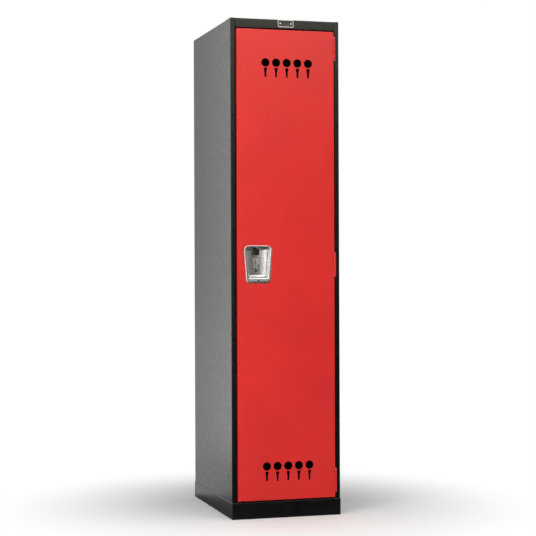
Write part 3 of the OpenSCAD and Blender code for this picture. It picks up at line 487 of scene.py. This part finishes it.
def moulded(name, colour, roughness, grain_scale, grain):
    """Moulded plastic or rubber with a fine matt texture."""
    stuff = bpy.data.materials.new(name)
    stuff.use_nodes = True
    tree = stuff.node_tree
    shader = tree.nodes["Principled BSDF"]
    place = tree.nodes.new("ShaderNodeTexCoord")
    drift = add_node(tree, "ShaderNodeTexNoise", Scale=60.0, Detail=3.0)
    tone = tree.nodes.new("ShaderNodeValToRGB")
    tone.color_ramp.elements[0].color = (*[0.88 * c for c in colour], 1.0)
    tone.color_ramp.elements[1].color = (*[min(1.0, 1.1 * c) for c in colour], 1.0)
    sheen = add_node(tree, "ShaderNodeMapRange", From_Min=0.3, From_Max=0.7,
                     To_Min=roughness - 0.05, To_Max=roughness + 0.06)
    texture = add_node(tree, "ShaderNodeTexNoise", Scale=grain_scale, Detail=2.0)
    bump = add_node(tree, "ShaderNodeBump", Strength=grain, Distance=0.0002)
    joined(
        tree,
        (place.outputs["Object"], drift.inputs["Vector"]),
        (place.outputs["Object"], texture.inputs["Vector"]),
        (drift.outputs["Fac"], tone.inputs["Fac"]), (tone.outputs["Color"], shader.inputs["Base Color"]),
        (drift.outputs["Fac"], sheen.inputs["Value"]), (sheen.outputs["Result"], shader.inputs["Roughness"]),
        (texture.outputs["Fac"], bump.inputs["Height"]), (bump.outputs["Normal"], shader.inputs["Normal"]),
    )
    return stuff


for node in ("frame_hook_upper", "frame_hook_middle", "frame_hook_lower"):
    dressed(node, "cabinet", "zinc_steel", zinc, edge=0.0003)
rubber = moulded("soft_rubber", (0.02, 0.02, 0.021), 0.72, 700.0, 0.2)
dressed("silencers", "cabinet", "rubber_black", rubber, edge=0.0006)

# Door
# A pan of folded sheet steel, powder coated red: the face with its punched vents, four
# folded edges behind it, and a hat section spot welded up the middle of the inside.
skin_back = frame_y - 0.0045
red_coat = powder_coat("red_coat", (0.70, 0.021, 0.019), 0.34, 0.4, 0.12)
for node in ("door_skin", "door_edge_latch", "door_edge_hinge", "door_edge_top", "door_edge_bottom",
             "door_stiffener"):
    dressed(node, "door", "door_red", red_coat, edge=0.0003, seam=(1, skin_back))

# Handle cup
# Drawn from one stainless blank: a flange that hides the hole's edge, a shallow step at
# the foot and a tapered recess whose floor is slotted for the lift and the padlock ear.


def stainless_steel(name, colour, roughness):
    """Stainless steel polished in upright strokes."""
    metal = bpy.data.materials.new(name)
    metal.use_nodes = True
    tree = metal.node_tree
    shader = tree.nodes["Principled BSDF"]
    shader.inputs["Metallic"].default_value = 1.0
    place = tree.nodes.new("ShaderNodeTexCoord")
    strokes = tree.nodes.new("ShaderNodeMapping")
    strokes.inputs["Scale"].default_value = (1.0, 1.0, 0.03)
    line = add_node(tree, "ShaderNodeTexNoise", Scale=1400.0, Detail=3.0, Roughness=0.6)
    cloud = add_node(tree, "ShaderNodeTexNoise", Scale=45.0, Detail=3.0)
    tone = tree.nodes.new("ShaderNodeValToRGB")
    tone.color_ramp.elements[0].position = 0.25
    tone.color_ramp.elements[0].color = (*[0.9 * c for c in colour], 1.0)
    tone.color_ramp.elements[1].position = 0.75
    tone.color_ramp.elements[1].color = (*colour, 1.0)
    sheen = add_node(tree, "ShaderNodeMapRange", From_Min=0.25, From_Max=0.75,
                     To_Min=roughness - 0.04, To_Max=roughness + 0.06)
    bump = add_node(tree, "ShaderNodeBump", Strength=0.05, Distance=0.0001)
    joined(
        tree,
        (place.outputs["Object"], strokes.inputs["Vector"]),
        (strokes.outputs["Vector"], line.inputs["Vector"]),
        (place.outputs["Object"], cloud.inputs["Vector"]), (cloud.outputs["Fac"], tone.inputs["Fac"]),
        (tone.outputs["Color"], shader.inputs["Base Color"]), (line.outputs["Fac"], sheen.inputs["Value"]),
        (sheen.outputs["Result"], shader.inputs["Roughness"]), (line.outputs["Fac"], bump.inputs["Height"]),
        (bump.outputs["Normal"], shader.inputs["Normal"]),
    )
    return metal


stainless = stainless_steel("stainless", (0.78, 0.775, 0.76), 0.27)
cup_x, cup_z = -0.0987, 0.852
cup_h, cup_top_w, cup_bottom_w = 0.126, 0.099, 0.084
cup_top_r, cup_bottom_r = 0.017, 0.012
cup_rim, cup_rim_top, cup_rim_bottom = 0.009, 0.0046, 0.017
cup_step_h, cup_wall = 0.006, 0.0009
cup_face, cup_step_y, cup_floor, cup_dish = -0.0069, -0.0039, 0.0126, 0.0034
floor_half_w, floor_middle = 0.040, 0.010


def cup_loop(side, top, bottom, depth):
    """One loop of the drawn cup, its edges moved in by these, at a depth."""
    top_r = max(cup_top_r - side, 0.004)
    bottom_r = max(cup_bottom_r - side, 0.003)
    high = Vector((cup_top_w / 2 - side - top_r, cup_h / 2 - top - top_r))
    low = Vector((cup_bottom_w / 2 - side - bottom_r, bottom_r + bottom - cup_h / 2))
    run = high - low
    lean = math.atan2(run.y, run.x) - math.acos((bottom_r - top_r) / run.length)
    half = [Vector((high.x * k / 6, high.y + top_r)) for k in range(6)]
    for centre, r, start, end in ((high, top_r, math.pi / 2, lean), (low, bottom_r, lean, -math.pi / 2)):
        corner = [start + (end - start) * k / 10 for k in range(11)]
        arc = [centre + r * Vector((math.cos(a), math.sin(a))) for a in corner]
        if centre is low:
            half += [half[-1].lerp(arc[0], k / 8) for k in range(1, 8)]
        half += arc
    half += [Vector((low.x * (1 - k / 6), low.y - bottom_r)) for k in range(1, 6)]
    foot = Vector((0.0, low.y - bottom_r))
    loop = half + [foot] + [Vector((-p.x, p.y)) for p in reversed(half[1:])]
    return [(cup_x + p.x, frame_y + depth, cup_z + p.y) for p in loop]


def lofted(name, loops, tip=None):
    """A skin through closed loops, which ends in a tip or else has a face at both ends."""
    around = len(loops[0])
    points = [p for loop in loops for p in loop]
    faces = []
    for ring in range(0, len(points) - around, around):
        for k in range(around):
            n = (k + 1) % around
            faces.append((ring + k, ring + n, ring + around + n, ring + around + k))
    last = len(points) - around
    if tip is None:
        faces += [tuple(range(around)), tuple(range(last, last + around))]
    else:
        faces += [(last + k, last + (k + 1) % around, len(points)) for k in range(around)]
        points.append(tuple(tip))
    mesh = bpy.data.meshes.new(name)
    mesh.from_pydata(points, [], faces)
    shape = bmesh.new()
    shape.from_mesh(mesh)
    bmesh.ops.recalc_face_normals(shape, faces=shape.faces)
    shape.faces.ensure_lookup_table()
    # An open skin has no inside of its own, so its tip is made to look forward
    if tip is not None and shape.faces[-1].normal.y > 0:
        bmesh.ops.reverse_faces(shape, faces=shape.faces)
    shape.to_mesh(mesh)
    shape.free()
    return mesh


# The flange is crowned, and its edge lies on the door
crown_side, crown_top, crown_foot = 0.0064, 0.0024, 0.0130
crown_h, crown_end, lip_r = 0.0006, 0.0004, 0.0018
loops = []
for k in range(7):
    t = k / 6
    depth = cup_face + crown_h * (1.8 * t - 1) ** 2
    loops.append(cup_loop(crown_side * t, crown_top * t, crown_foot * t, depth))
# The flange turns over into the recess
for k in range(6):
    a = math.pi / 2 * k / 5
    inset, down = lip_r * (math.sin(a) - 1), crown_end + lip_r * (1 - math.cos(a))
    loops.append(cup_loop(cup_rim + inset, cup_rim_top + inset, cup_rim_bottom + inset, cup_face + down))
# The shallow step at the foot, as loops that lie further in and further back
foot = cup_rim_bottom + cup_step_h
for side, top, bottom, depth in (
    (0.0002, 0.0001, cup_rim_bottom + 0.0002, -0.0006),
    (0.0002, 0.0001, cup_rim_bottom + 0.0006, -0.0001),
    (0.0003, 0.0001, cup_rim_bottom + 0.0010, 0.0),
    (0.0003, 0.0002, cup_rim_bottom + 0.0013, 0.0),
    (0.0004, 0.0002, foot - 0.0015, 0.0),
    (0.0004, 0.0002, foot - 0.0011, 0.0),
    (0.0005, 0.0003, foot - 0.0005, 0.0002),
    (0.0006, 0.0003, foot - 0.0002, 0.0007),
    (0.0007, 0.0004, foot, 0.0014),
):
    loops.append(cup_loop(cup_rim + side, cup_rim_top + top, bottom, cup_step_y + depth))
# The wall sweeps into the floor, widest at the top, and the floor is hollow across its width


def floor_depth(x):
    """Depth of the cup's floor, which is deepest along its middle."""
    return cup_floor - cup_dish * ((x - cup_x) / floor_half_w) ** 2


wall_end = cup_step_y + 0.0030
sweep_side, sweep_top, sweep_foot = 0.0058, 0.0085, 0.0030
for k in range(10):
    a = math.pi / 2 * k / 9
    turn, sunk = 1 - math.cos(a), math.sin(a)
    ring = cup_loop(cup_rim + 0.0009 + sweep_side * turn, cup_rim_top + 0.0005 + sweep_top * turn,
                    foot + 0.0002 + sweep_foot * turn, 0.0)
    loops.append([(x, frame_y + wall_end + (floor_depth(x) - wall_end) * sunk, z) for x, _, z in ring])
middle = Vector((cup_x, frame_y + cup_floor, cup_z - floor_middle))
last = [Vector(p) for p in loops[-1]]
for k in range(1, 10):
    spots = [p.lerp(middle, k / 10) for p in last]
    loops.append([(p.x, frame_y + floor_depth(p.x), p.z) for p in spots])
draw = bpy.data.objects.new("cup_blank", lofted("cup_blank", loops, tip=middle))
bpy.context.collection.objects.link(draw)
wall = draw.modifiers.new("wall", "SOLIDIFY")
wall.thickness = cup_wall - 0.00005
wall.offset = -1.0
# The slots in the floor: one for the tab that carries the grip, one for the moving ear
punches, punch_depth = [], 0.006
for x, slot_w, low_z, high_z in (
    (-0.1041, 0.0138, 0.8818, 0.9002),
    (-0.1027, 0.0034, 0.8270, 0.8770),
):
    punch_mesh = bpy.data.meshes.new("punch")
    shape = bmesh.new()
    bmesh.ops.create_cube(shape, size=1.0)
    for v in shape.verts:
        v.co = Vector((x + v.co.x * slot_w, frame_y + cup_floor + v.co.y * punch_depth,
                       (low_z + high_z) / 2 + v.co.z * (high_z - low_z)))
    shape.to_mesh(punch_mesh)
    shape.free()
    punch = bpy.data.objects.new("punch", punch_mesh)
    bpy.context.collection.objects.link(punch)
    cut = draw.modifiers.new("slot", "BOOLEAN")
    cut.operation = "DIFFERENCE"
    cut.solver = "EXACT"
    cut.object = punch
    punches.append(punch)
shell = bpy.data.meshes.new_from_object(draw.evaluated_get(bpy.context.evaluated_depsgraph_get()))
shell.name = "handle_cup_drawn"
for extra in [draw] + punches:
    bpy.data.objects.remove(extra)
finished(shell, "handle_cup_drawn", "door", "stainless", stainless, "handle_cup", smooth=40.0)

# Cup rivet, padlock ear and latch
# A steel rivet holds the cup's lower flange. The fixed padlock ear is welded to the cup,
# and the moving one is part of the slide plate, which the grip lifts with the lock bar.
# Bent fingers sit on the bar, and it runs in nylon guides.
steel = plated_steel("dark_steel", (0.16, 0.16, 0.16), 0.36, 0.12)
dressed("cup_rivet", "door", "zinc_steel", steel, edge=0.0002)
dressed("padlock_staple", "door", "stainless", stainless, edge=0.0002)
for node in ("lock_bar", "latch_fingers"):
    dressed(node, "latch", "zinc_steel", zinc, edge=0.0003)
slide = dressed("slide_plate", "latch", "zinc_steel", zinc, edge=0.0003)
# The tab through the cup's floor is cut back on the left, to stay inside the grip
tab_edge, tab_cut = -0.1182, -0.1100
for v in slide.data.vertices:
    if abs(v.co.x - tab_edge) < 0.0001:
        v.co.x = tab_cut
nylon = moulded("nylon", (0.74, 0.73, 0.69), 0.42, 500.0, 0.06)
dressed("bar_guides", "door", "nylon_white", nylon, edge=0.0006)

# Lift grip
# A finger lift moulded in black plastic on the slide plate's tab. It hangs in the top
# of the cup, its back is rounded to clear the cup, and a finger hooks under its lip.
black_plastic = moulded("black_plastic", (0.007, 0.007, 0.0075), 0.5, 900.0, 0.1)
black_plastic.node_tree.nodes["Principled BSDF"].inputs["Specular IOR Level"].default_value = 0.3
grip_low, grip_high = (Vector(corner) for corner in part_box("lift_grip"))
# The moulding takes only the right part of the width that its solid keeps free
grip_w, grip_round = 0.0175, 0.0024
grip_low.x = grip_high.x - grip_w
front, back = grip_low.y, grip_high.y - 0.0012
low, high = grip_low.z, grip_high.z
top_front_r, top_back_r, low_back_r, low_front_r = 0.0028, 0.0066, 0.0012, 0.0014
back_end, hollow_start, hollow_edge = 0.0052, 0.0016, 0.0045
hollow_h, hollow_rise = 0.0040, 0.0030
profile = []
for y, z, r, start in (
    (front + top_front_r, high - top_front_r, top_front_r, 180),
    (back - top_back_r, high - top_back_r, top_back_r, 90),
    (back - low_back_r, low + back_end, low_back_r, 0),
    (front + low_front_r, low + low_front_r, low_front_r, -90),
):
    steps = 8 if r > 0.002 else 4
    for k in range(steps + 1):
        a = math.radians(start - 90 * k / steps)
        profile.append((y + r * math.cos(a), z + r * math.sin(a)))
    if start == 0:
        # The finger's hollow under the grip
        for k in range(1, 8):
            t = k / 8
            profile.append((back - hollow_start - (back - front - hollow_edge) * t,
                            low + hollow_h + hollow_rise * math.sin(math.pi * t) - hollow_h * t * t))
span = grip_high.x - grip_low.x
cuts = [0.0, 0.0004, 0.0012, grip_round] + [span * k / 12 for k in range(2, 11)]
cuts += [span - grip_round, span - 0.0012, span - 0.0004, span]
centre_y = sum(p[0] for p in profile) / len(profile)
centre_z = sum(p[1] for p in profile) / len(profile)
# The ends are rounded: near them the profile draws in towards its middle
loops = []
for cut in cuts:
    into_round = max(0.0, grip_round - min(cut, span - cut))
    draw_in = grip_round - math.sqrt(max(0.0, grip_round ** 2 - into_round ** 2))
    loop = []
    for y, z in profile:
        keep = 1 - draw_in / math.hypot(y - centre_y, z - centre_z)
        loop.append((grip_low.x + cut, centre_y + (y - centre_y) * keep, centre_z + (z - centre_z) * keep))
    loops.append(loop)
grip_mesh = lofted("lift_grip_moulded", loops)
finished(grip_mesh, "lift_grip_moulded", "latch", "plastic_black", black_plastic, "lift_grip", smooth=50.0)

# Hinges
# Three five knuckle steel hinges with rolled leaves, welded in the gap beside the door
# and coated with it, each on a plain steel pin.
for level in ("upper", "middle", "lower"):
    dressed("hinge_frame_leaf_" + level, "cabinet", "door_red", red_coat, edge=0.00025)
    dressed("hinge_door_leaf_" + level, "door", "door_red", red_coat, edge=0.00025)
    dressed("hinge_pin_" + level, "cabinet", "zinc_steel", zinc, edge=0.0003)

# Number plate
# A small plate stamped from aluminium with a bright raised border and a dark field,
# left blank, and held to the header by two rivets.
aluminium = plated_steel("dull_aluminium", (0.60, 0.60, 0.58), 0.34, 0.08)
plate_field = moulded("plate_field", (0.030, 0.034, 0.036), 0.38, 800.0, 0.05)
plate_low, plate_high = (Vector(corner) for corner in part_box("number_plate"))
plate_x, plate_z = (plate_low.x + plate_high.x) / 2, (plate_low.z + plate_high.z) / 2
plate_half_w, plate_half_h = (plate_high.x - plate_low.x) / 2, (plate_high.z - plate_low.z) / 2
plate_corner, plate_rivet_x, field_y = 0.0045, 0.019, -0.0006


def plate_loop(inset, depth):
    """A loop around the plate with rounded corners, moved in and at a depth."""
    r = max(plate_corner - inset, 0.0008)
    w, h = plate_half_w - inset - r, plate_half_h - inset - r
    loop = []
    for sx, sz, start in ((1, 1, 0), (-1, 1, 90), (-1, -1, 180), (1, -1, 270)):
        for k in range(7):
            a = math.radians(start + 15 * k)
            x, z = plate_x + sx * w + r * math.cos(a), plate_z + sz * h + r * math.sin(a)
            loop.append((x, frame_y + depth, z))
    return loop


# The border's section, from the header over its crest to the field
steps = [(0.0, 0.0), (0.0, -0.0004), (0.0002, -0.0007), (0.0006, -0.0010), (0.0011, -0.0011),
         (0.0016, -0.0010), (0.0020, -0.0008), (0.0023, -0.00065), (0.0026, field_y)]
plate_mesh = lofted("number_plate_stamped", [plate_loop(inset, depth) for inset, depth in steps])
finished(plate_mesh, "number_plate_stamped", "cabinet", "plate_dark", aluminium, "number_plate")
plate_mesh.materials.append(plate_field)
plate_mesh.polygons[-1].material_index = 1
rivet = {"Head Radius": 0.0031, "Head Height": 0.0009, "Shank Radius": 0.0015,
         "Shank Length": 0.0024, "Recess": 0.0}
places = [(plate_x + dx, frame_y + field_y, plate_z) for dx in (-plate_rivet_x, plate_rivet_x)]
rivets = fastened([(places, to_front, rivet)], aluminium)
finished(rivets, "plate_rivet_heads", "cabinet", "rivet_aluminium", aluminium, "plate_rivets")
